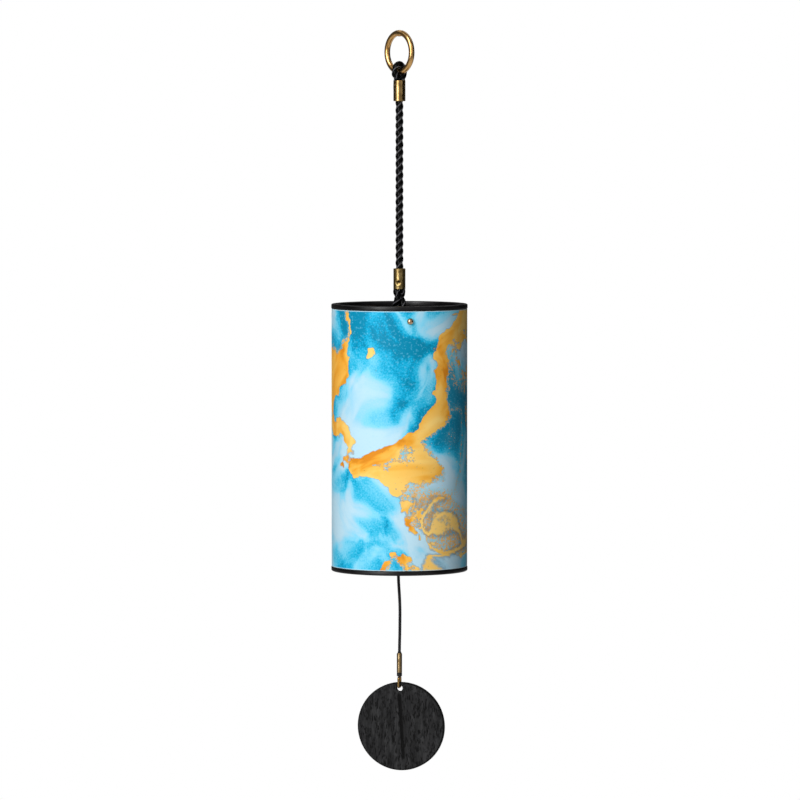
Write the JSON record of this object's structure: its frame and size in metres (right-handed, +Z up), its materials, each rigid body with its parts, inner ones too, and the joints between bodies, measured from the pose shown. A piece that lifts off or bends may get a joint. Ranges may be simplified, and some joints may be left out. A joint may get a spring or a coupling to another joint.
{
  "type": "tube wind chime",
  "caption": "Wind chime with tuned rods and a clapper inside a marbled tube, hung by a rope from a ring, with a round wind sail below.",
  "frame": {"origin": "the point inside the top of the hanging ring where a hook bears", "axes": "+Z up along the line that the chime hangs on, Y along the cross pin with the round-headed end towards -Y, X to the right as seen from the pin's head"},
  "size_m": [0.062, 0.0658, 0.3375],
  "materials": {
    "aged_brass": "aged, with a dull shine",
    "plate_brass": "satin",
    "rod_steel": "bright drawn rod",
    "screw_steel": "bright",
    "black_rope": "shiny twisted cord",
    "black_cord": "thin braided cord",
    "black_trim": "satin black",
    "tube_wall": "matt black inside",
    "marbled_sheet": "printed sheet with a satin face, blue and gold marbling",
    "base_wood": "plain turned wood",
    "clapper_wood": "plain turned wood",
    "sail_wood": "black stained wood with open grain"
  },
  "bodies": {
    "ring": {"hanging_ring": "aged_brass"},
    "hanger": {"upper_rope_eye": "black_rope", "upper_ferrule": "aged_brass"},
    "rope": {"suspension_rope": "black_rope"},
    "lower_hanger": {"lower_ferrule": "aged_brass", "lower_rope_eye": "black_rope"},
    "resonator": {"resonator_tube": "tube_wall", "printed_wrap": "marbled_sheet", "top_edge_trim": "black_trim", "bottom_edge_trim": "black_trim", "cross_pin": "aged_brass", "cross_pin_cap": "aged_brass", "base_disc": "base_wood", "sounding_plate": "plate_brass", "tuned_rod_1": "rod_steel", "tuned_rod_2": "rod_steel", "tuned_rod_3": "rod_steel", "tuned_rod_4": "rod_steel", "tuned_rod_5": "rod_steel", "tuned_rod_6": "rod_steel", "tuned_rod_7": "rod_steel", "tuned_rod_8": "rod_steel", "plate_screw_1": "screw_steel", "plate_screw_2": "screw_steel", "plate_screw_3": "screw_steel"},
    "bridle": {"clapper_bridle": "black_cord"},
    "clapper": {"clapper_cord_eye": "black_cord", "clapper_cord_crimp": "aged_brass", "clapper_cord": "black_cord", "clapper": "clapper_wood", "clapper_stop_bead": "aged_brass"},
    "sail_drop": {"sail_cord_upper": "black_cord"},
    "sail_line": {"sail_cord_lower": "black_cord", "sail_ferrule": "aged_brass", "cord_end_collar": "black_cord", "sail_link": "aged_brass"},
    "sail": {"wind_sail": "sail_wood"}
  },
  "joints": [
    {"name": "eye_swing", "type": "hinge", "parent": "ring", "child": "hanger", "pos_m": [0, 0, -0.01675], "axis": [0.5, -0.866, 0], "range_deg": [-80, 80]},
    {"name": "rope_sway", "type": "hinge", "parent": "hanger", "child": "rope", "pos_m": [0, 0, -0.03005], "axis": [0.866, 0.5, 0], "range_deg": [-25, 25]},
    {"name": "rope_twist", "type": "hinge", "parent": "rope", "child": "lower_hanger", "pos_m": [0, 0, -0.10595], "axis": [0, 0, 1], "range_deg": [-180, 180]},
    {"name": "tube_rock", "type": "hinge", "parent": "lower_hanger", "child": "resonator", "pos_m": [0, 0, -0.1287], "axis": [0, 1, 0], "range_deg": [-70, 70]},
    {"name": "bridle_swing", "type": "hinge", "parent": "resonator", "child": "bridle", "pos_m": [0, 0, -0.1287], "axis": [0, 1, 0], "range_deg": [-2.6, 2.6]},
    {"name": "clapper_sway", "type": "hinge", "parent": "bridle", "child": "clapper", "pos_m": [0, 0, -0.1405], "axis": [1, 0, 0], "range_deg": [-3.2, 3.2]},
    {"name": "sail_spin", "type": "hinge", "parent": "clapper", "child": "sail_drop", "pos_m": [0, 0, -0.19055], "axis": [0, 0, 1], "range_deg": [-180, 180]},
    {"name": "sail_swing", "type": "hinge", "parent": "sail_drop", "child": "sail_line", "pos_m": [0, 0, -0.2421], "axis": [0.9311, -0.3649, 0], "range_deg": [-45, 45]},
    {"name": "sail_tilt", "type": "hinge", "parent": "sail_line", "child": "sail", "pos_m": [0, 0, -0.29685], "axis": [-0.3649, -0.9311, 0], "range_deg": [-45, 45]}
  ]
}
